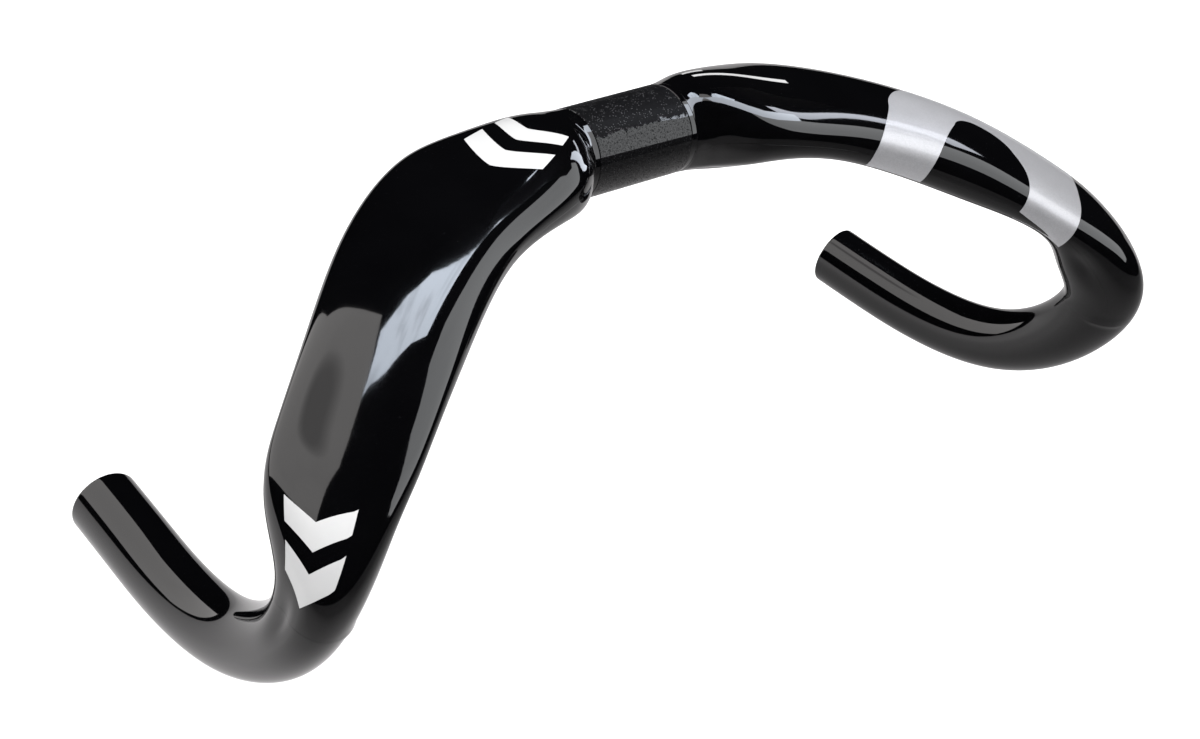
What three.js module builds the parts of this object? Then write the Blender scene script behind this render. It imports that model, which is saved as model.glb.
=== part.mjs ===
// Drop handlebar with wing-section tops, as an assembly of its moulded and bonded pieces.
// Millimetres. +X is the rider's right, along the stem clamp, +Y is forward and +Z is up.
// The origin is the centre of the stem clamp. The left half is the right half mirrored in X.
import * as THREE from 'three';

// Driving dimensions
const clampDiameter = 31.8; // standard stem clamp
const dropDiameter = 23.8; // standard road drop, for levers and tape
const laminate = 1.8; // wall of the shells and tubes
const innerWall = 1.2; // wall of the inner sleeves and strips
const glueGap = 0.3; // gap left between bonded faces
const gripHalfLength = 21.7; // rough zone that the stem holds
const gripDepth = 0.5; // thickness of the rough layer
const stepLength = 0.3; // length of the small chamfers where a diameter steps
const filmGap = 0.3; // gap under a graphic film
const filmThickness = 0.3;

const clampRadius = clampDiameter / 2;
const dropRadius = dropDiameter / 2;

// Stations that shape one half of the bar. Each holds the centre of the section, the half chord
// forward and rearward of it, half the thickness, the twist in degrees with the nose up, how much
// thicker the nose is than the tail, and the corner roundness, where 2 is an ellipse.
const plain = { twist: 0, taper: 0, corner: 2 };
const clampTube = { front: clampRadius, rear: clampRadius, half: clampRadius, ...plain };
const dropTube = { front: dropRadius, rear: dropRadius, half: dropRadius, ...plain };
const stations = [
  { x: 20, y: 0, z: 0, ...clampTube },
  { x: 26, y: 0, z: 0, ...clampTube },
  { x: 31, y: 0.5, z: 0.5, front: 17, rear: 18, half: 15.5, twist: 10, taper: 0.02, corner: 2.2 },
  { x: 38, y: 1.5, z: 1.5, front: 22.5, rear: 21, half: 16, twist: 14, taper: 0.04, corner: 2.4 },
  { x: 50, y: 4, z: 3.5, front: 27.5, rear: 23, half: 13.5, twist: 9, taper: 0.08, corner: 2.6 },
  { x: 68, y: 9.5, z: 3.5, front: 26, rear: 30.5, half: 9, twist: 5, taper: 0.12, corner: 2.7 },
  { x: 92, y: 17.5, z: 1.5, front: 25, rear: 27.5, half: 8.5, twist: 2, taper: 0.15, corner: 2.6 },
  { x: 118, y: 33, z: -3, front: 25.5, rear: 25.5, half: 9.5, twist: -1, taper: 0.15, corner: 2.5 },
  { x: 143, y: 52, z: -9.5, front: 25, rear: 23, half: 10.5, twist: -3, taper: 0.15, corner: 2.4 },
  { x: 166, y: 77.5, z: -20.5, front: 18, rear: 28, half: 6, twist: -3, taper: 0.15, corner: 2.3 },
  { x: 177, y: 87.5, z: -34, front: 15, rear: 28, half: 14, twist: -6, taper: 0.05, corner: 2.1 },
  { x: 190, y: 100.5, z: -53, front: 10, rear: 14.5, half: 15.5, twist: -3, taper: 0, corner: 2 },
  { x: 189, y: 87, z: -81, front: 13, rear: 12, half: 13.5, ...plain },
  { x: 187, y: 61, z: -103, ...dropTube },
  { x: 184, y: 28, z: -110, ...dropTube },
  { x: 181, y: 2, z: -110.5, ...dropTube },
  { x: 179, y: -20.5, z: -110.5, ...dropTube },
];
const lastStation = stations.length - 1;

// Places along the bar, counted in stations
const rootPlace = 0.75; // the wing starts flush with the clamp tube
const rootSeam = 0.06; // the gap between them
const tenonEnd = 4; // the clamp tube's tapered tenon ends inside the wing
const tipPlace = 11.2; // the wing ends and the drop tube starts
const jointSeam = 0.012; // the gap between them
const sleeveReach = 0.45; // the hook sleeve goes this far each way from the joint
const sleeveStart = tipPlace - sleeveReach;
const sleeveEnd = tipPlace + sleeveReach;

// Strips inside the wing's seams
const spliceClearance = 0.1; // from the tenon and from the hook sleeve
const spliceHalfSides = 2; // sides of the section, each way from the seam

// Graphic films: places along the bar, and angles in degrees round the section from the nose
const rootChevron = { reach: 0.4, width: 0.45, from: 62, to: 118 };
const tipChevron = { reach: 0.25, width: 0.3, from: 85, to: 140 };
const longLine = { start: 2.9, end: 5.2, angle: 95, width: 5 };
const shortLine = { start: 2.7, end: 3.5, angle: 107, width: 5 };
const panel = {
  innerPlace: 6.25,
  outerPlace: 9.2,
  slant: 0.75,
  nose: -25,
  tail: 150,
  window: { place: 7.75, halfLength: 0.65, height: 128 },
};

// Mesh density
const framesPerStation = 12;
const ringsPerStation = 2;
const sides = 24;

// The stations act as the control points of a uniform cubic B-spline, carried on past both ends.
function stationValue(index, key) {
  if (index < 0) return 2 * stations[0][key] - stations[1][key];
  if (index > lastStation) return 2 * stations[lastStation][key] - stations[lastStation - 1][key];
  return stations[index][key];
}

function blendStations(place) {
  const first = Math.min(Math.floor(place), lastStation - 1);
  const t = place - first;
  const weights = [(1 - t) ** 3, 3 * t ** 3 - 6 * t ** 2 + 4, 3 * (t + t ** 2 - t ** 3) + 1, t ** 3];
  const blended = {};
  for (const key of Object.keys(stations[0])) {
    const sum = weights.reduce((total, weight, k) => total + weight * stationValue(first + k - 1, key), 0);
    blended[key] = sum / 6;
  }
  blended.centre = new THREE.Vector3(blended.x, blended.y, blended.z);
  return blended;
}

// Section frames along the bar. The crown direction is carried along without turning about the bar,
// and then the section is twisted by its own angle.
function makeFrames() {
  const total = lastStation * framesPerStation;
  const sections = Array.from({ length: total + 1 }, (_, i) => blendStations(i / framesPerStation));
  const up = new THREE.Vector3(0, 0, 1);
  return sections.map((section, i) => {
    const ahead = sections[Math.min(i + 1, total)].centre;
    const behind = sections[Math.max(i - 1, 0)].centre;
    const along = ahead.clone().sub(behind).normalize();
    up.addScaledVector(along, -up.dot(along)).normalize();
    const forward = up.clone().cross(along);
    const angle = THREE.MathUtils.degToRad(section.twist);
    const nose = forward.clone().multiplyScalar(Math.cos(angle)).addScaledVector(up, Math.sin(angle));
    const crown = up.clone().multiplyScalar(Math.cos(angle)).addScaledVector(forward, -Math.sin(angle));
    return { ...section, nose, crown };
  });
}

const frames = makeFrames();

function frameAt(place) {
  const exact = place * framesPerStation;
  const first = Math.min(Math.floor(exact), frames.length - 2);
  const a = frames[first];
  const b = frames[first + 1];
  const t = exact - first;
  const mixed = {};
  for (const key of ['front', 'rear', 'half', 'taper', 'corner']) mixed[key] = a[key] + t * (b[key] - a[key]);
  mixed.centre = a.centre.clone().lerp(b.centre, t);
  mixed.nose = a.nose.clone().lerp(b.nose, t).normalize();
  mixed.crown = a.crown.clone().lerp(b.crown, t).normalize();
  return mixed;
}

function clampFrame(x) {
  const centre = new THREE.Vector3(x, 0, 0);
  return { ...clampTube, centre, nose: new THREE.Vector3(0, 1, 0), crown: new THREE.Vector3(0, 0, 1) };
}

// A point on a section's outline. The angle runs from the nose over the crown to the tail, inset
// moves the outline inward, and lift moves the two halves of a split section apart.
function sectionPoint(frame, angle, inset, lift = 0) {
  const power = 2 / frame.corner;
  const cosine = Math.cos(angle);
  const sine = Math.sin(angle);
  const across = Math.sign(cosine) * Math.abs(cosine) ** power;
  const upward = Math.sign(sine) * Math.abs(sine) ** power;
  const reach = across * ((across > 0 ? frame.front : frame.rear) - inset);
  const height = lift + upward * (frame.half - inset - Math.abs(lift)) * (1 + frame.taper * across);
  return frame.centre.clone().addScaledVector(frame.nose, reach).addScaledVector(frame.crown, height);
}

function ring(frame, angles, inset, lift) {
  return angles.map((angle) => sectionPoint(frame, angle, inset, lift));
}

function spread(start, end, count) {
  return Array.from({ length: count + 1 }, (_, i) => start + ((end - start) * i) / count);
}

// Angles of a run of the section's sides, counted from the nose
function anglesOfSides(first, last) {
  return spread(first, last, last - first).map((side) => (side * 2 * Math.PI) / sides);
}

const fullTurn = anglesOfSides(0, sides - 1);

// Every piece has a ring at each of these places that it passes, so that nested walls stay parallel.
const evenPlaces = spread(0, lastStation, lastStation * ringsPerStation);
const sharedPlaces = [...evenPlaces, sleeveStart, tipPlace, sleeveEnd].sort((a, b) => a - b);

function framesBetween(start, end) {
  return [start, ...sharedPlaces.filter((place) => place > start && place < end), end].map(frameAt);
}

// A wall between an outer and an inner grid of points, closed on every side. A round wall joins
// the last point of each ring to the first.
function wall(outer, inner, isRound) {
  const rings = outer.length;
  const count = outer[0].length;
  const spans = isRound ? count : count - 1;
  const points = [...outer.flat(), ...inner.flat()];
  const faces = [];
  const quad = (a, b, c, d) => faces.push(a, b, c, a, c, d);
  const out = (i, j) => i * count + (j % count);
  const inn = (i, j) => rings * count + out(i, j);
  for (let i = 0; i < rings - 1; i++) {
    for (let j = 0; j < spans; j++) {
      quad(out(i, j), out(i, j + 1), out(i + 1, j + 1), out(i + 1, j));
      quad(inn(i, j), inn(i + 1, j), inn(i + 1, j + 1), inn(i, j + 1));
    }
    if (!isRound) {
      quad(out(i, 0), out(i + 1, 0), inn(i + 1, 0), inn(i, 0));
      quad(out(i + 1, spans), out(i, spans), inn(i, spans), inn(i + 1, spans));
    }
  }
  const end = rings - 1;
  for (let j = 0; j < spans; j++) {
    quad(out(0, j + 1), out(0, j), inn(0, j), inn(0, j + 1));
    quad(out(end, j), out(end, j + 1), inn(end, j + 1), inn(end, j));
  }
  const geometry = new THREE.BufferGeometry();
  geometry.setAttribute('position', new THREE.Float32BufferAttribute(points.flatMap((p) => p.toArray()), 3));
  geometry.setIndex(faces);
  return geometry;
}

function mirrored(geometry) {
  const copy = geometry.clone().scale(-1, 1, 1);
  const index = copy.getIndex().array;
  for (let i = 0; i < index.length; i += 3) [index[i], index[i + 1]] = [index[i + 1], index[i]];
  return copy;
}

// A stretch of the bar's wall from a depth below its outline, over a run of frames and angles
function stretch(run, angles, isRound, depth, thickness, lift = 0) {
  const outer = run.map((frame) => ring(frame, angles, depth, lift));
  const inner = run.map((frame) => ring(frame, angles, depth + thickness, lift));
  return wall(outer, inner, isRound);
}

// The clamp tube steps down under the rough zone, and ends each way in a tapered tenon that fills
// the root of the wing.
function clampTubeBody() {
  const tenonDepth = laminate + glueGap;
  const boreDepth = tenonDepth + laminate;
  const gripEnd = gripHalfLength + glueGap;
  const half = [
    [clampFrame(gripEnd), gripDepth + glueGap],
    [clampFrame(gripEnd + stepLength), 0],
    [frameAt(rootPlace - 2 * rootSeam), 0],
    [frameAt(rootPlace - rootSeam), tenonDepth],
    ...framesBetween(rootPlace, tenonEnd).slice(1).map((frame) => [frame, tenonDepth]),
  ];
  const right = half.map(([frame, inset]) => [ring(frame, fullTurn, inset), ring(frame, fullTurn, boreDepth)]);
  const flip = (points) => points.map((point) => new THREE.Vector3(-point.x, point.y, point.z));
  const left = right.map((pair) => pair.map(flip)).reverse();
  const all = [...left, ...right];
  return wall(all.map((pair) => pair[0]), all.map((pair) => pair[1]), true);
}

function gripLayerBody() {
  const run = spread(-gripHalfLength, gripHalfLength, 2).map(clampFrame);
  return stretch(run, fullTurn, true, 0, gripDepth);
}

// The upper shell takes the crown side of the section and the lower shell the other side. They
// meet at the nose and at the tail.
function wingShellBody(isUpper) {
  const angles = isUpper ? anglesOfSides(0, sides / 2) : anglesOfSides(sides / 2, sides);
  const lift = (isUpper ? 1 : -1) * (glueGap / 2);
  return stretch(framesBetween(rootPlace, tipPlace), angles, false, 0, laminate, lift);
}

// A strip bonded across a seam, inside the nose or inside the tail
function spliceBody(middleSide) {
  const angles = anglesOfSides(middleSide - spliceHalfSides, middleSide + spliceHalfSides);
  const run = framesBetween(tenonEnd + spliceClearance, sleeveStart - spliceClearance);
  return stretch(run, angles, false, laminate + glueGap, innerWall);
}

function hookSleeveBody() {
  const run = framesBetween(sleeveStart, sleeveEnd);
  return stretch(run, fullTurn, true, laminate + glueGap, innerWall);
}

function dropTubeBody() {
  const run = framesBetween(tipPlace + jointSeam, lastStation);
  return stretch(run, fullTurn, true, 0, laminate);
}

// A graphic film that lies over the skin. Its two long edges are functions of a fraction from
// 0 to 1, each returning a place along the bar and an angle in degrees round the section.
function filmBody(firstEdge, secondEdge, lengthSteps, widthSteps) {
  const point = (s, t, height) => {
    const [placeA, angleA] = firstEdge(s);
    const [placeB, angleB] = secondEdge(s);
    const angle = THREE.MathUtils.degToRad(THREE.MathUtils.lerp(angleA, angleB, t));
    return sectionPoint(frameAt(THREE.MathUtils.lerp(placeA, placeB, t)), angle, -height);
  };
  const layer = (height) =>
    spread(0, 1, lengthSteps).map((s) => spread(0, 1, widthSteps).map((t) => point(s, t, height)));
  return wall(layer(filmGap + filmThickness), layer(filmGap), false);
}

// A chevron that points along the bar, between two angles
function chevronBody(place, { reach, width, from, to }) {
  const edge = (offset) => (s) => [place + offset + reach * (1 - Math.abs(2 * s - 1)), to + (from - to) * s];
  return filmBody(edge(0), edge(width), 8, 2);
}

function lineBody({ start, end, angle, width }) {
  const edge = (side) => (s) => [start + (end - start) * s, angle + side];
  return filmBody(edge(-width / 2), edge(width / 2), 6, 1);
}

// The panel wraps over the wing from tail to nose, round a half-oval window that is open at the
// nose.
function panelBody({ innerPlace, outerPlace, slant, nose, tail, window }) {
  const sideShare = 0.35; // of the outline's length, for each side
  const outline = (s) => {
    const along = THREE.MathUtils.clamp((s - sideShare) / (1 - 2 * sideShare), 0, 1);
    const up = Math.min(s, 1 - s, sideShare) / sideShare;
    return [THREE.MathUtils.lerp(innerPlace + slant * up, outerPlace, along), nose + (tail - nose) * up];
  };
  const opening = (s) => [
    window.place - window.halfLength * Math.cos(Math.PI * s),
    nose + window.height * Math.sin(Math.PI * s),
  ];
  return filmBody(opening, outline, 40, 4);
}

const gloss = { color: 0x0b0b0d, roughness: 0.06, metalness: 0 };
const bareCarbon = { color: 0x1c1c1f, roughness: 0.45, metalness: 0 };
const roughLayer = { color: 0x242427, roughness: 0.85, metalness: 0 };
const whiteFilm = { color: 0xf2f2f2, roughness: 0.3, metalness: 0 };
const silverFilm = { color: 0xb4b5ba, roughness: 0.35, metalness: 0.7 };

const handlebar = new THREE.Group();

function addPiece(name, geometry, finish) {
  const mesh = new THREE.Mesh(geometry, new THREE.MeshStandardMaterial(finish));
  mesh.name = name;
  handlebar.add(mesh);
}

function addPair(name, geometry, finish) {
  addPiece(`right_${name}`, geometry, finish);
  addPiece(`left_${name}`, mirrored(geometry), finish);
}

addPiece('clamp_tube', clampTubeBody(), gloss);
addPiece('clamp_grip_layer', gripLayerBody(), roughLayer);
addPair('wing_upper_shell', wingShellBody(true), gloss);
addPair('wing_lower_shell', wingShellBody(false), gloss);
addPair('wing_nose_splice', spliceBody(0), bareCarbon);
addPair('wing_tail_splice', spliceBody(sides / 2), bareCarbon);
addPair('hook_sleeve', hookSleeveBody(), bareCarbon);
addPair('drop_tube', dropTubeBody(), gloss);
addPiece('right_root_chevron_inner', chevronBody(3.3, rootChevron), whiteFilm);
addPiece('right_root_chevron_outer', chevronBody(4.1, rootChevron), whiteFilm);
addPiece('right_tip_chevron_inner', chevronBody(9.95, tipChevron), whiteFilm);
addPiece('right_tip_chevron_outer', chevronBody(10.45, tipChevron), whiteFilm);
addPiece('left_root_line_long', mirrored(lineBody(longLine)), whiteFilm);
addPiece('left_root_line_short', mirrored(lineBody(shortLine)), whiteFilm);
addPiece('left_wing_panel', mirrored(panelBody(panel)), silverFilm);

export default handlebar;
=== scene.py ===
import math

import bmesh
import bpy
from mathutils import Matrix, Vector


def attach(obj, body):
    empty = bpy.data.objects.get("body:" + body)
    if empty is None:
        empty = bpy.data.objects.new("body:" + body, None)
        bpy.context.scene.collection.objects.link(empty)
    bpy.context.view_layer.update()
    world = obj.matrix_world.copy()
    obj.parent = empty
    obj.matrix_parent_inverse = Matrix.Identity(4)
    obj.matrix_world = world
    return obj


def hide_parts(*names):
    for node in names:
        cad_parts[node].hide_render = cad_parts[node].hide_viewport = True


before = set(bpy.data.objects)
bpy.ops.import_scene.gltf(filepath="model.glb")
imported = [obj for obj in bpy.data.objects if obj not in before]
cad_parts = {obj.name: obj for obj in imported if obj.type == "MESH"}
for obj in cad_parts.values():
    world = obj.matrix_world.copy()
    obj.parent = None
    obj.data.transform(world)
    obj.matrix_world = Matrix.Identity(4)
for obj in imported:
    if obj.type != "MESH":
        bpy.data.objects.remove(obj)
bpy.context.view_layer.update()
print("frame loaded,", len(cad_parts), "nodes")


# Stations from the clamp to the drop end, in mm: x, y, z, front, rear, half, twist, taper, corner
bar = {
    "stations": [
        (20, 0, 0, 15.9, 15.9, 15.9, 0, 0, 2),
        (26, 0, 0, 15.9, 15.9, 15.9, 0, 0, 2),
        (31, 0.5, 0.5, 17, 18, 15.5, 10, 0.02, 2.2),
        (38, 1.5, 1.5, 22.5, 21, 16, 14, 0.04, 2.4),
        (50, 4, 3.5, 27.5, 23, 13.5, 9, 0.08, 2.6),
        (68, 9.5, 3.5, 26, 30.5, 9, 5, 0.12, 2.7),
        (92, 17.5, 1.5, 25, 27.5, 8.5, 2, 0.15, 2.6),
        (118, 33, -3, 25.5, 25.5, 9.5, -1, 0.15, 2.5),
        (143, 52, -9.5, 25, 23, 10.5, -3, 0.15, 2.4),
        (166, 77.5, -20.5, 18, 28, 6, -3, 0.15, 2.3),
        (177, 87.5, -34, 15, 28, 14, -6, 0.05, 2.1),
        (190, 100.5, -53, 10, 14.5, 15.5, -3, 0, 2),
        (189, 87, -81, 13, 12, 13.5, 0, 0, 2),
        (187, 61, -103, 11.9, 11.9, 11.9, 0, 0, 2),
        (184, 28, -110, 11.9, 11.9, 11.9, 0, 0, 2),
        (181, 2, -110.5, 11.9, 11.9, 11.9, 0, 0, 2),
        (179, -20.5, -110.5, 11.9, 11.9, 11.9, 0, 0, 2),
    ],
    "clampPitch": 6,  # mm of bar for each place before station 0
    "upSteps": 40,  # steps per place for carrying the up direction along
    "laminate": 1.8,
    "tipPlace": 11.2,  # where the wing ends and the drop tube begins
    "tipGap": 0.0008,  # half the hairline between them, in places
}

# Small features on the skin, as heights over the plain section in mm
skinDetails = {
    "rootLip": {"start": 0.9, "full": 2.0, "height": 1.9, "fade": 4.4, "from": -22, "to": 8, "soft": 24},
    "rearDimple": {"place": 11.25, "length": 0.3, "angle": 132, "spread": 15, "depth": 2.0},
    "frontDimple": {"place": 9.95, "length": 0.4, "angle": -8, "spread": 14, "depth": 1.5},
    "bondRidge": {"place": 11.2, "width": 0.05, "height": 0.4, "allRound": 0.06, "from": -12, "to": 12, "soft": 30},
    "endRim": {"length": 0.035, "depth": 0.55},
}

stations = bar["stations"]
lastPlace = len(stations) - 1


def stationAt(index):  # the two ends carry on in a straight line
    if index < 0:
        return [2 * a - b for a, b in zip(stations[0], stations[1])]
    if index > lastPlace:
        return [2 * a - b for a, b in zip(stations[-1], stations[-2])]
    return stations[index]


def blendAt(place):
    first = min(int(place), lastPlace - 1)
    t = place - first
    weights = ((1 - t) ** 3, 3 * t ** 3 - 6 * t ** 2 + 4, 3 * (t + t ** 2 - t ** 3) + 1, t ** 3)
    slopes = (-(1 - t) ** 2, 3 * t ** 2 - 4 * t, 1 + 2 * t - 3 * t ** 2, t ** 2)
    rows = [stationAt(first + k - 1) for k in range(4)]
    values = [sum(w * row[c] for w, row in zip(weights, rows)) / 6 for c in range(9)]
    along = Vector([sum(s * row[c] for s, row in zip(slopes, rows)) for c in range(3)]).normalized()
    return values, along


def carriedUps():
    up, ups = Vector((0, 0, 1)), []
    for step in range(lastPlace * bar["upSteps"] + 1):
        along = blendAt(step / bar["upSteps"])[1]
        up = (up - along * up.dot(along)).normalized()
        ups.append(up)
    return ups


ups = carriedUps()
knownFrames = {}


def frameAt(place):
    key = round(place, 5)
    if key not in knownFrames:
        if place <= 0:
            radius = stations[0][3]
            knownFrames[key] = {
                "centre": Vector((stations[0][0] + bar["clampPitch"] * place, 0, 0)),
                "nose": Vector((0, 1, 0)), "crown": Vector((0, 0, 1)),
                "front": radius, "rear": radius, "half": radius, "taper": 0, "corner": 2,
            }
        else:
            place = min(place, lastPlace)
            values, along = blendAt(place)
            step = min(int(place * bar["upSteps"]), len(ups) - 2)
            up = ups[step].lerp(ups[step + 1], place * bar["upSteps"] - step)
            up = (up - along * up.dot(along)).normalized()
            forward = up.cross(along)
            twist = math.radians(values[6])
            knownFrames[key] = {
                "centre": Vector(values[:3]),
                "nose": forward * math.cos(twist) + up * math.sin(twist),
                "crown": up * math.cos(twist) - forward * math.sin(twist),
                "front": values[3], "rear": values[4], "half": values[5],
                "taper": values[7], "corner": values[8],
            }
    return knownFrames[key]


def smoothStep(low, high, value):
    t = min(max((value - low) / (high - low), 0), 1)
    return t * t * (3 - 2 * t)


def angleShare(angle, low, high, fade):  # 1 between two angles in degrees, fading outside
    middle, halfWidth = (low + high) / 2, (high - low) / 2
    away = abs((angle - middle + 180) % 360 - 180)
    return 1 - smoothStep(halfWidth, halfWidth + fade, away)


def detailHeight(place, angle):
    lip, ridge, rim = (skinDetails[key] for key in ("rootLip", "bondRidge", "endRim"))
    height = 0
    if lip["start"] < place < lip["fade"]:
        rise = min((place - lip["start"]) / (lip["full"] - lip["start"]), 1)
        alongShare = math.sin(math.pi / 2 * rise) * (1 - smoothStep(lip["full"], lip["fade"], place))
        height += lip["height"] * alongShare * angleShare(angle, lip["from"], lip["to"], lip["soft"])
    for dimple in (skinDetails["rearDimple"], skinDetails["frontDimple"]):
        along = (place - dimple["place"]) / dimple["length"]
        around = ((angle - dimple["angle"] + 180) % 360 - 180) / dimple["spread"]
        height -= dimple["depth"] * math.exp(-along ** 2 - around ** 2)
    alongShare = math.exp(-((place - ridge["place"]) / ridge["width"]) ** 2)
    aroundShare = ridge["allRound"] + angleShare(angle, ridge["from"], ridge["to"], ridge["soft"])
    height += ridge["height"] * alongShare * aroundShare
    if place > lastPlace - rim["length"]:
        t = (place - (lastPlace - rim["length"])) / rim["length"]
        height -= rim["depth"] * (1 - math.sqrt(max(1 - t * t, 0)))
    return height


# A point of the skin in metres. The angle is in degrees round the section: 0 nose, 90 crown, 180 tail
def skinPoint(side, place, angle, height=0):
    at = frameAt(place)
    height += detailHeight(place, angle)
    c, s = math.cos(math.radians(angle)), math.sin(math.radians(angle))
    power = 2 / at["corner"]
    across = math.copysign(abs(c) ** power, c)
    upward = math.copysign(abs(s) ** power, s)
    reach = across * ((at["front"] if across > 0 else at["rear"]) + height)
    lift = upward * (at["half"] + height) * (1 + at["taper"] * across)
    point = (at["centre"] + at["nose"] * reach + at["crown"] * lift) / 1000
    point.x *= side
    return point


normalReach = {"place": 0.004, "angle": 0.4}  # how far to either side the slope of the skin is taken


def skinNormal(side, place, angle):
    near, turn = normalReach["place"], normalReach["angle"]
    alongBar = skinPoint(side, min(place + near, lastPlace), angle) - skinPoint(side, place - near, angle)
    aroundBar = skinPoint(side, place, angle + turn) - skinPoint(side, place, angle - turn)
    return alongBar.cross(aroundBar).normalized() * -side


def linked(name, data):
    made = bpy.data.objects.new(name, data)
    bpy.context.scene.collection.objects.link(made)
    return made


def meshObject(bm, name, material):
    mesh = bpy.data.meshes.new(name)
    bm.to_mesh(mesh)
    bm.free()
    mesh.materials.append(material)
    return linked(name, mesh)


def finishPiece(bm, name, material, replaced):
    piece = meshObject(bm, name, material)
    piece.data.shade_smooth()
    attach(piece, "root")
    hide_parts(*replaced)
    print("made", name, len(piece.data.polygons), "faces")
    return piece


# A wall that follows the skin: a grid laid on it, then given its thickness. corner(s, t) returns
# the side, place, angle and height for s along and t across, both from 0 to 1.
def skinWall(name, columns, rows, corner, thickness, material, slotName, replaced, isRound=False):
    squareOn = 0.6  # how nearly a face must look along the skin's normal to borrow it
    bm = bmesh.new()
    bmesh.ops.create_grid(bm, x_segments=columns, y_segments=rows, size=0.5)
    normalLayer = bm.verts.layers.float_vector.new("skinNormal")
    for vertex in bm.verts:
        side, place, angle, height = corner(vertex.co.x + 0.5, vertex.co.y + 0.5)
        vertex[normalLayer] = skinNormal(side, place, angle)
        vertex.co = skinPoint(side, place, angle, height)
    if isRound:
        bmesh.ops.remove_doubles(bm, verts=bm.verts, dist=1e-6)
    bm.normal_update()
    if sum(face.normal.dot(face.verts[0][normalLayer]) for face in bm.faces) < 0:
        bmesh.ops.reverse_faces(bm, faces=bm.faces)
        bm.normal_update()
    bmesh.ops.solidify(bm, geom=bm.faces[:], thickness=thickness / 1000)
    bm.normal_update()
    corners = []  # both faces keep the skin's own normals, so that reflections run on over a seam
    for face in bm.faces:
        outward = face.normal.dot(face.verts[0][normalLayer])
        for vertex in face.verts:
            if abs(outward) > squareOn:
                corners.append(vertex[normalLayer] * math.copysign(1, outward))
            else:
                corners.append(Vector())
    bm.verts.layers.float_vector.remove(normalLayer)
    piece = finishPiece(bm, name, material, replaced)
    piece.data.normals_split_custom_set(corners)
    return piece


class Value:  # a socket, for writing shader maths as an expression
    def __init__(self, shader, socket):
        self.shader, self.socket = shader, socket

    def output(self, index):  # another output of the same node
        return Value(self.shader, self.socket.node.outputs[index])

    def math(self, operation, *others, swap=False):
        values = [self, *others]
        if swap:
            values.reverse()
        return self.shader.node("ShaderNodeMath", {"operation": operation}, dict(enumerate(values)))

    def __add__(self, other): return self.math("ADD", other)
    def __radd__(self, other): return self.math("ADD", other)
    def __sub__(self, other): return self.math("SUBTRACT", other)
    def __rsub__(self, other): return self.math("SUBTRACT", other, swap=True)
    def __mul__(self, other): return self.math("MULTIPLY", other)
    def __rmul__(self, other): return self.math("MULTIPLY", other)
    def __truediv__(self, other): return self.math("DIVIDE", other)
    def __pow__(self, other): return self.math("POWER", other)
    def __gt__(self, other): return self.math("GREATER_THAN", other)
    def __lt__(self, other): return self.math("LESS_THAN", other)


class Shader:
    def __init__(self, name):
        self.material = bpy.data.materials.new(name)
        self.material.use_nodes = True
        self.tree = self.material.node_tree
        self.surface = self.tree.nodes["Principled BSDF"]

    def node(self, kind, settings=None, inputs=None, output=0):
        made = self.tree.nodes.new(kind)
        for key, value in (settings or {}).items():
            if key == "stops":
                ramp = made.color_ramp
                while len(ramp.elements) < len(value):
                    ramp.elements.new(0.5)
                for element, (position, colour) in zip(ramp.elements, value):
                    element.position, element.color = position, (*colour, 1)
            else:
                setattr(made, key, value)
        for key, value in (inputs or {}).items():
            self.feed(made.inputs[key], value)
        return Value(self, made.outputs[output])

    def feed(self, socket, value):
        if isinstance(value, Value):
            self.tree.links.new(value.socket, socket)
        else:
            socket.default_value = value

    def set(self, **values):
        for key, value in values.items():
            self.feed(self.surface.inputs[key.replace("_", " ")], value)

    def place(self):
        return self.node("ShaderNodeTexCoord", output="Object")

    def parts(self):  # the place as x; y is output 1 of the same node
        return self.node("ShaderNodeSeparateXYZ", None, {"Vector": self.place()})

    def noise(self, scale, detail=2, roughness=0.5, stretch=None):
        vector = self.place()
        if stretch:
            vector = self.node("ShaderNodeMapping", None, {"Vector": vector, "Scale": stretch})
        inputs = {"Vector": vector, "Scale": scale, "Detail": detail, "Roughness": roughness}
        return self.node("ShaderNodeTexNoise", None, inputs)

    def cells(self, scale, output="Distance", **settings):
        return self.node("ShaderNodeTexVoronoi", settings, {"Vector": self.place(), "Scale": scale}, output)

    def mix(self, share, first, second):
        return self.node("ShaderNodeMix", {"data_type": "RGBA"}, {0: share, 6: first, 7: second}, output=2)

    def ramp(self, value, *stops):
        return self.node("ShaderNodeValToRGB", {"stops": stops}, {"Fac": value})

    def bump(self, height, strength, distance):
        return self.node("ShaderNodeBump", None, {"Height": height, "Strength": strength, "Distance": distance})

    def orangePeel(self):
        return self.bump(self.noise(peel["scale"], 1), peel["strength"], peel["depth"])


peel = {"scale": 260, "strength": 0.25, "depth": 0.00002}  # the faint unevenness of sprayed lacquer


def grey(level):
    return level, level, level


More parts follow.
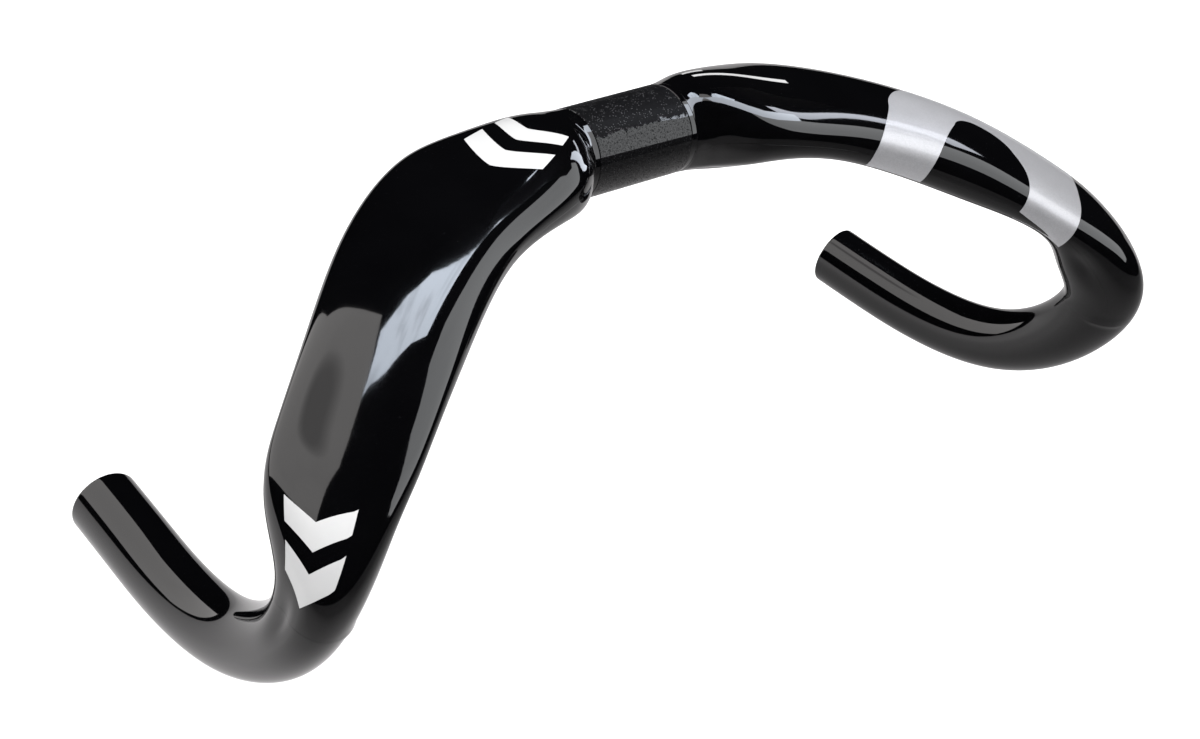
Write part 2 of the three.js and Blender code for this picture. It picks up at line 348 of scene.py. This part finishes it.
def glossBlackMaterial():
    look = {
        "deep": (0.0006, 0.0006, 0.0008, 1), "lighter": (0.0018, 0.0018, 0.0022, 1), "dust": (0.12, 0.12, 0.125, 1),
        "roughness": 0.035, "roughnessSpread": 0.03, "dustShare": 0.7, "dustRoughness": 0.4,
        "speckScale": 420, "speckSize": 0.035, "patchScale": 60, "patchFrom": 0.62,
    }
    shader = Shader("glossBlack")
    cloud = shader.noise(35, 3)
    speck = shader.cells(look["speckScale"], feature="F1") < look["speckSize"]
    dust = speck * (shader.noise(look["patchScale"], 1) > look["patchFrom"])  # only in patches
    shader.set(
        Base_Color=shader.mix(dust * look["dustShare"], shader.mix(cloud, look["deep"], look["lighter"]), look["dust"]),
        Roughness=shader.noise(90, 4) * look["roughnessSpread"] + look["roughness"] + dust * look["dustRoughness"],
        IOR=1.52, Coat_Weight=0.35, Coat_Roughness=0.02,
        Normal=shader.orangePeel(),
    )
    return shader.material


def roughLayerMaterial():
    look = {
        "dark": (0.0012, 0.0012, 0.0016, 1), "grain": (0.006, 0.006, 0.0065, 1),
        "spark": (0.075, 0.075, 0.08, 1), "ring": (0.12, 0.12, 0.12, 1),
        "matt": 0.4, "mattSpread": 0.2, "polished": 0.04,
        "sparkScale": 1250, "sparkSize": 0.27, "sparkFrom": 0.47, "pitFrom": 0.56, "ringFrom": 0.55,
        "polishedFrom": 0.0098, "jitter": 0.0026, "ringAt": 0.02152,  # metres
    }
    shader = Shader("roughClampLayer")
    grain = shader.noise(1500, 3, 0.7)
    place = shader.parts()
    ahead = place.output(1) + (shader.noise(420, 3, 0.7) - 0.5) * look["jitter"] * 2
    matt = ahead < look["polishedFrom"]  # matt on top, polished in front, with an uneven edge
    spark = shader.cells(look["sparkScale"], feature="F1") < look["sparkSize"]
    spark = spark * (shader.noise(420, 2) > look["sparkFrom"])
    pits = shader.noise(1700, 2, 0.7) > look["pitFrom"]
    # A painted highlight: a thin, light, broken line on the matt top at both ends of the layer, where the raised edge
    # would catch the light.
    ring = (place.math("ABSOLUTE") > look["ringAt"]) * (shader.noise(900, 2) > look["ringFrom"]) * matt
    colour = shader.mix(spark * (0.15 + matt * 0.45), shader.mix(grain, look["dark"], look["grain"]), look["spark"])
    shader.set(
        Base_Color=shader.mix(ring * 0.8, colour, look["ring"]),
        Roughness=grain * look["mattSpread"] + look["matt"], IOR=1.1, Coat_Roughness=look["polished"], Coat_IOR=1.55,
        Coat_Weight=(1 - matt) * (grain * 1.1 + 0.25) * (1 - pits * 0.7) + 0.01,
        Normal=shader.bump(grain * (0.35 + matt) + spark * 0.25, 0.6, 0.00003),
    )
    return shader.material


def bareLaminateMaterial():
    look = {"bandScale": 25, "dark": (0.006, 0.006, 0.007, 1), "light": (0.04, 0.04, 0.044, 1)}
    shader = Shader("bareLaminate")
    tows = shader.node("ShaderNodeTexWave", {"wave_type": "BANDS", "bands_direction": "DIAGONAL"},
                       {"Vector": shader.place(), "Scale": look["bandScale"], "Distortion": 1.2, "Detail": 1})
    fibres = shader.noise(900, 2, stretch=(1, 6, 6))
    shader.set(
        Base_Color=shader.mix(tows * 0.6 + fibres * 0.4, look["dark"], look["light"]),
        Roughness=fibres * 0.25 + 0.3,
        Normal=shader.bump(tows * 0.7 + fibres * 0.3, 0.4, 0.00015),
    )
    return shader.material


def whiteFilmMaterial():
    look = {"dull": (0.49, 0.49, 0.495, 1), "bright": (0.54, 0.54, 0.54, 1), "roughness": 0.16, "roughnessSpread": 0.12}
    shader = Shader("whiteFilm")
    shader.set(
        Base_Color=shader.mix(shader.noise(120, 3), look["dull"], look["bright"]),
        Roughness=shader.noise(500, 2) * look["roughnessSpread"] + look["roughness"],
        Coat_Weight=0.4, Coat_Roughness=0.03,
        Normal=shader.orangePeel(),
    )
    return shader.material


def silverFilmMaterial():
    look = {"dark": (0.40, 0.40, 0.42, 1), "light": (0.52, 0.52, 0.54, 1), "roughness": 0.34, "roughnessSpread": 0.1}
    shader = Shader("silverFilm")
    flakes = shader.cells(2600, output="Color", feature="F1")
    value = shader.node("ShaderNodeSeparateColor", None, {"Color": flakes})
    cloud = shader.noise(60, 2)
    shader.set(
        Base_Color=shader.mix(value * 0.5 + cloud * 0.5, look["dark"], look["light"]),
        Metallic=0.5, Roughness=value * look["roughnessSpread"] + look["roughness"],
        Coat_Weight=0.5, Coat_Roughness=0.03,
        Normal=shader.orangePeel(),
    )
    return shader.material


glossBlack = glossBlackMaterial()
roughLayer = roughLayerMaterial()
bareLaminate = bareLaminateMaterial()
whiteFilm = whiteFilmMaterial()
silverFilm = silverFilmMaterial()
print("materials made")


wingSkin = {
    "rootPlace": 0.8, "fineTo": 3.2, "fineStep": 0.04, "step": 0.075, "angleSteps": 56,
    "seam": 0.05,  # degrees kept open at the parting line
}


def gradedPlaces(start, end, spacing):  # dense places first, then wider ones
    fineTo = spacing["fineTo"]
    fine = math.ceil((fineTo - start) / spacing["fineStep"])
    wide = math.ceil((end - fineTo) / spacing["step"])
    places = [start + (fineTo - start) * i / fine for i in range(fine)]
    return places + [fineTo + (end - fineTo) * i / wide for i in range(wide + 1)]


def makeWing(side, sideName):
    seam = wingSkin["seam"]
    places = gradedPlaces(wingSkin["rootPlace"], bar["tipPlace"] - bar["tipGap"], wingSkin)
    columns = len(places) - 1
    for half, startAngle in (("upper", 0), ("lower", 180)):
        def corner(s, t):
            return side, places[round(s * columns)], startAngle + seam + (180 - 2 * seam) * t, 0

        skinWall(f"{sideName}_wing_{half}_skin", columns, wingSkin["angleSteps"], corner, bar["laminate"],
                 glossBlack, "gloss_black", [f"{sideName}_wing_{half}_shell"])


dropTube = {"fineTo": 11.6, "fineStep": 0.02, "step": 0.06, "rimSteps": 6, "angleSteps": 88}


def makeDropTube(side, sideName):
    rim, rimSteps = skinDetails["endRim"]["length"], dropTube["rimSteps"]
    places = gradedPlaces(bar["tipPlace"] + bar["tipGap"], lastPlace - rim, dropTube)
    places += [lastPlace - rim + rim * math.sin(math.pi / 2 * i / rimSteps) for i in range(1, rimSteps + 1)]
    columns = len(places) - 1

    def corner(s, t):
        return side, places[round(s * columns)], 360 * t, 0

    skinWall(f"{sideName}_drop_tube_skin", columns, dropTube["angleSteps"], corner, bar["laminate"],
             glossBlack, "gloss_black", [f"{sideName}_drop_tube"], isRound=True)


for side, sideName in ((1, "right"), (-1, "left")):
    makeWing(side, sideName)
    makeDropTube(side, sideName)


clampZone = {
    "radius": 15.9, "boreRadius": 12.0, "shoulder": 24.6, "tenonRadius": 13.95, "halfLength": 29.5,
    "gripHalfLength": 21.7, "gripDepth": 0.35, "gripProud": 0.03, "groove": 0.08,
    "clearance": 0.05, "slope": 0.3, "bevel": 0.15, "gripBevel": 0.12, "lift": 0.02,
}
turning = {"steps": 128, "sharpFrom": 28}  # edges are sharp from this many degrees up


def turnedPiece(name, profile, material, replaced):
    bm = bmesh.new()
    rows = [bm.verts.new((x / 1000, 0, r / 1000)) for x, r in profile]
    edges = [bm.edges.new((rows[i], rows[(i + 1) % len(rows)])) for i in range(len(rows))]
    bmesh.ops.spin(bm, geom=rows + edges, cent=(0, 0, 0), axis=(1, 0, 0), angle=math.tau,
                   steps=turning["steps"], use_merge=True)
    bmesh.ops.recalc_face_normals(bm, faces=bm.faces)
    for edge in bm.edges:
        if len(edge.link_faces) == 2 and edge.calc_face_angle(0) > math.radians(turning["sharpFrom"]):
            edge.smooth = False
    return finishPiece(bm, name, material, replaced)


def makeClampZone():
    c = clampZone
    step, r = c["gripHalfLength"] + c["groove"], c["radius"]
    under = r - c["gripDepth"] - c["clearance"]
    end, shoulder, tenon = c["halfLength"], c["shoulder"], c["tenonRadius"]
    slope, bevel = c["slope"], c["bevel"]
    rightHalf = [(step, under), (step + slope, r), (shoulder - bevel, r), (shoulder, r - bevel),
                 (shoulder, tenon), (end, tenon - slope), (end, c["boreRadius"])]
    outline = [(-x, radius) for x, radius in reversed(rightHalf)] + rightHalf
    turnedPiece("clamp_tube_skin", outline, glossBlack, ["clamp_tube"])
    half, top = c["gripHalfLength"], r + c["gripProud"]
    foot, cheek = under + c["lift"], top - c["gripBevel"]
    layer = [(-half, foot), (-half, cheek), (-half + bevel, top), (half - bevel, top), (half, cheek), (half, foot)]
    turnedPiece("clamp_grip_skin", layer, roughLayer, ["clamp_grip_layer"])


makeClampZone()


film = {
    "height": 0.06, "thickness": 0.05,  # on top of the lacquer, mm
    "chevronGrid": (64, 10), "lineGrid": (60, 4), "panelGrid": (200, 40),  # columns, rows
}
chevrons = {
    "right_root_chevron_inner": {"place": 3.3, "reach": 0.4, "width": 0.45, "from": 62, "to": 118},
    "right_root_chevron_outer": {"place": 4.1, "reach": 0.4, "width": 0.45, "from": 62, "to": 118},
    "right_tip_chevron_inner": {"place": 9.95, "reach": 0.25, "width": 0.3, "from": 85, "to": 140},
    "right_tip_chevron_outer": {"place": 10.45, "reach": 0.25, "width": 0.3, "from": 85, "to": 140},
}
lines = {
    "left_root_line_long": {"start": 2.9, "end": 5.2, "angle": 95, "width": 3.6},
    "left_root_line_short": {"start": 2.7, "end": 3.5, "angle": 107, "width": 3.6},
}
panel = {
    "nose": -25, "tail": 150, "sideShare": 0.35,
    "innerPlace": 6.25, "slant": 0.95, "slantBend": 2.2, "outerPlace": 9.2, "lean": 0.1, "leanBend": 3,
    "windowPlace": 7.78, "windowHalfLength": 0.68, "windowHeight": 128, "outerFullness": 0.4,
}


def mixed(a, b, t):
    return a + (b - a) * t


def makeFilm(name, side, firstEdge, secondEdge, grid, material, slotName):
    def corner(s, t):
        (placeA, angleA), (placeB, angleB) = firstEdge(s), secondEdge(s)
        return side, mixed(placeA, placeB, t), mixed(angleA, angleB, t), film["height"]

    skinWall(f"{name}_film", *grid, corner, film["thickness"], material, slotName, [name])


def makeChevron(name, c):
    def edge(offset):
        return lambda s: (c["place"] + offset + c["reach"] * (1 - abs(2 * s - 1)), mixed(c["to"], c["from"], s))

    makeFilm(name, 1, edge(0), edge(c["width"]), film["chevronGrid"], whiteFilm, "white_film")


def makeLine(name, c):
    def edge(shift):
        return lambda s: (mixed(c["start"], c["end"], s), c["angle"] + shift)

    makeFilm(name, -1, edge(-c["width"] / 2), edge(c["width"] / 2), film["lineGrid"], whiteFilm, "white_film")


def makePanel():
    c = panel

    def outline(s):
        along = min(max((s - c["sideShare"]) / (1 - 2 * c["sideShare"]), 0), 1)
        up = min(s, 1 - s, c["sideShare"]) / c["sideShare"]
        inner = c["innerPlace"] + c["slant"] * up ** c["slantBend"]
        outer = c["outerPlace"] + c["lean"] * (1 - up) ** c["leanBend"]
        return mixed(inner, outer, along), mixed(c["nose"], c["tail"], up)

    def window(s):  # half an oval, fuller on its outer side
        rise = max(math.sin(math.pi * s), 0) ** (1 if s < 0.5 else c["outerFullness"])
        return c["windowPlace"] - c["windowHalfLength"] * math.cos(math.pi * s), c["nose"] + c["windowHeight"] * rise

    makeFilm("left_wing_panel", -1, window, outline, film["panelGrid"], silverFilm, "silver_film")


for name, settings in chevrons.items():
    makeChevron(name, settings)
for name, settings in lines.items():
    makeLine(name, settings)
makePanel()

# The pieces hidden inside keep their own shape and only take a material
for name in ("wing_nose_splice", "wing_tail_splice", "hook_sleeve"):
    for sideName in ("right", "left"):
        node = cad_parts[f"{sideName}_{name}"]
        for slot in node.material_slots:
            slot.link, slot.material = "OBJECT", bareLaminate
print("inner pieces finished")


camera = {"azimuth": 51.367, "elevation": 34.51, "roll": 16.06, "aside": 0.005085, "above": 0.078077,
          "distance": 0.960332, "lens": 83.97, "sensor": 36}


def sphereDirection(azimuth, elevation):
    a, e = math.radians(azimuth), math.radians(elevation)
    return Vector((math.sin(a) * math.cos(e), math.cos(a) * math.cos(e), math.sin(e)))


def makeCamera():
    back = sphereDirection(camera["azimuth"], camera["elevation"])
    azimuth = math.radians(camera["azimuth"])
    right = Vector((-math.cos(azimuth), math.sin(azimuth), 0))
    up = back.cross(right)
    roll = math.radians(camera["roll"])
    right, up = right * math.cos(roll) + up * math.sin(roll), up * math.cos(roll) - right * math.sin(roll)
    data = bpy.data.cameras.new("camera")
    data.lens, data.sensor_width, data.sensor_fit = camera["lens"], camera["sensor"], "HORIZONTAL"
    made = linked("camera", data)
    made.matrix_world = Matrix((right, up, back)).transposed().to_4x4()
    made.location = back * camera["distance"] - right * camera["aside"] - up * camera["above"]
    bpy.context.scene.camera = made


def paleMaterial():
    shader = Shader("paleFloor")
    shader.set(Base_Color=shader.mix(shader.noise(3, 2), (0.88, 0.88, 0.88, 1), (0.92, 0.92, 0.92, 1)), Roughness=0.9)
    return shader.material


def makePlane(name, size, height, material, seenInGloss):
    bm = bmesh.new()
    bmesh.ops.create_grid(bm, x_segments=1, y_segments=1, size=size / 2)
    bmesh.ops.translate(bm, verts=bm.verts, vec=(0, 0, height))
    made = meshObject(bm, name, material)
    made.visible_glossy = seenInGloss
    return made


# Cards that only the lacquer sees. Corners are metres across and up on a plane that faces the bar. The two shades
# are black and, like the ribbon, stand close to the roots, so that they tell on one root at a time.
cards = {
    "windowCard": {"azimuth": -130, "elevation": 62, "distance": 1.2, "strength": 9.5, "colour": (0.80, 0.88, 1),
                   "streaks": 0.8,
                   "corners": [(-0.16, -0.13), (0.12, -0.12), (0.19, 0.0), (0.24, 0.3),
                               (0.2, 0.63), (0.11, 0.5), (0.0, 0.36), (-0.16, 0.27)]},
    "noseCard": {"azimuth": -80, "elevation": 48, "distance": 1.2, "strength": 2.1, "colour": (0.96, 0.98, 1),
                 "corners": [(0.25, 0.12), (0.1, 0.3), (-0.15, 0.46), (-0.4, 0.4), (-0.7, 0.05), (-1.0, -0.3),
                             (-1.15, -0.7), (-1.15, -1.1), (-0.75, -1.0), (-0.4, -0.8), (-0.05, -0.35), (0.2, -0.1)]},
    "farStrip": {"azimuth": -108, "elevation": 31, "distance": 1.2, "strength": 4.5, "colour": (0.86, 0.9, 1),
                 "corners": [(-0.3, 0.02), (-0.08, -0.07), (0.2, -0.11), (0.2, -0.04), (-0.02, 0.02), (-0.24, 0.12)]},
    "rootShade": {"azimuth": -130, "elevation": 62, "distance": 0.08, "strength": 0, "colour": (0, 0, 0),
                  "corners": [(0.002, -0.03), (0.03, -0.03), (0.03, 0.05), (0.022, 0.061),
                              (-0.012, 0.061), (-0.032, 0.056), (-0.032, 0.042), (-0.004, 0.03)]},
    "bandShade": {"azimuth": -90, "elevation": 60, "distance": 0.078, "strength": 0, "colour": (0, 0, 0),
                  "corners": [(0.03, -0.03), (0.004, -0.033), (-0.004, -0.043),
                              (-0.009, -0.052), (-0.008, -0.085), (0.03, -0.085)]},
    "rootRibbon": {"azimuth": -90, "elevation": 60, "distance": 0.08, "strength": 7, "colour": (0.84, 0.9, 1),
                   "corners": [(0.008, 0.006), (0.0, -0.012), (-0.006, -0.023), (-0.014, -0.03), (-0.021, -0.042),
                               (-0.018, -0.064), (-0.032, -0.06), (-0.039, -0.046), (-0.04, -0.03),
                               (-0.032, -0.014), (-0.023, -0.002), (-0.011, 0.017), (-0.004, 0.03), (0.008, 0.02)]},
    "backCard": {"azimuth": 175, "elevation": 55, "distance": 1.2, "strength": 1.75, "colour": (1, 0.975, 0.965),
                 "corners": [(0.1, -1.8), (0.1, -0.35), (-0.19, 0.277), (-0.06, 0.42), (0.13, 0.66),
                             (0.26, 0.75), (0.77, 0.85), (1.4, 0.95), (1.5, -1.8)],
                 "shade": {"across": 0.285, "up": 0.29, "width": 0.15, "height": 0.3, "depth": 0.48}},
}


def facing(settings):
    direction = sphereDirection(settings["azimuth"], settings["elevation"])
    level = Vector((0, 0, 1)).cross(direction)
    level = level.normalized() if level.length > 0.01 else Vector((1, 0, 0))
    place = Matrix((level, direction.cross(level), direction)).transposed().to_4x4()
    place.translation = direction * settings["distance"]
    return place


def cardMaterial(name, settings):
    black = (0, 0, 0, 1)
    shader = Shader(name)
    glow = shader.noise(2.2, 2) * 0.3 + 0.85
    if "streaks" in settings:
        streaks = settings["streaks"]
        glow = glow * (shader.noise(3, 2, stretch=(5, 0.8, 1)) * 2 * streaks + 1 - streaks)
    if "shade" in settings:  # a soft dark oval
        shade = settings["shade"]
        place = shader.parts()
        across, up = place - shade["across"], place.output(1) - shade["up"]
        away = (across / shade["width"]) ** 2 + (up / shade["height"]) ** 2
        glow = glow * (1 - shader.ramp(away, (0.25, grey(1)), (1, grey(0))) * shade["depth"])
    shader.set(Base_Color=black, Roughness=1, Emission_Color=shader.mix(glow, black, (*settings["colour"], 1)),
               Emission_Strength=settings["strength"])
    return shader.material


def makeCard(name, settings):
    bm = bmesh.new()
    bm.faces.new([bm.verts.new((x, y, 0)) for x, y in settings["corners"]])
    made = meshObject(bm, name, cardMaterial(name, settings))
    made.matrix_world = facing(settings)
    made.visible_camera = made.visible_diffuse = made.visible_shadow = made.visible_transmission = False


overhead = {"azimuth": 0, "elevation": 90, "distance": 2.2, "size": 4, "power": 220}


def makeOverhead():
    data = bpy.data.lights.new("overhead", "AREA")
    data.shape, data.size, data.energy = "SQUARE", overhead["size"], overhead["power"]
    made = linked("overhead", data)
    made.matrix_world = facing(overhead)
    made.visible_glossy = False


ground = {"floorSize": 14, "floorHeight": -0.2, "underSize": 3, "underHeight": -0.19, "under": (0.69, 0.675, 0.68, 1)}
room = {"colour": (0.9, 0.93, 1, 1), "strength": 0.003}


def underMaterial():  # painted light and shade for the bar's reflections: lighter behind and to the right, as the underside of the bar sees it
    shader = Shader("underCard")
    place = shader.parts()
    ahead = shader.ramp(place.output(1) + 0.5, (0, grey(0.72)), (0.42, grey(0.74)), (0.52, grey(0.85)),
                        (0.7, grey(0.38)), (0.95, grey(0.14)))
    aside = shader.ramp(place + 0.5, (0.38, grey(0.55)), (0.62, grey(1)))
    shader.set(Base_Color=shader.mix(ahead * aside, (0, 0, 0, 1), ground["under"]), Roughness=0.9)
    return shader.material


def makeStage():
    makePlane("floor", ground["floorSize"], ground["floorHeight"], paleMaterial(), False)
    under = makePlane("under_card", ground["underSize"], ground["underHeight"], underMaterial(), True)
    under.visible_camera = under.visible_diffuse = under.visible_shadow = False
    world = bpy.data.worlds.new("room")
    world.use_nodes = True
    background = world.node_tree.nodes["Background"]
    background.inputs["Color"].default_value = room["colour"]
    background.inputs["Strength"].default_value = room["strength"]
    bpy.context.scene.world = world
    bpy.context.scene.view_settings.view_transform = "Standard"
    makeOverhead()
    for name, settings in cards.items():
        makeCard(name, settings)


makeCamera()
makeStage()
print("camera, floor and lamps set")
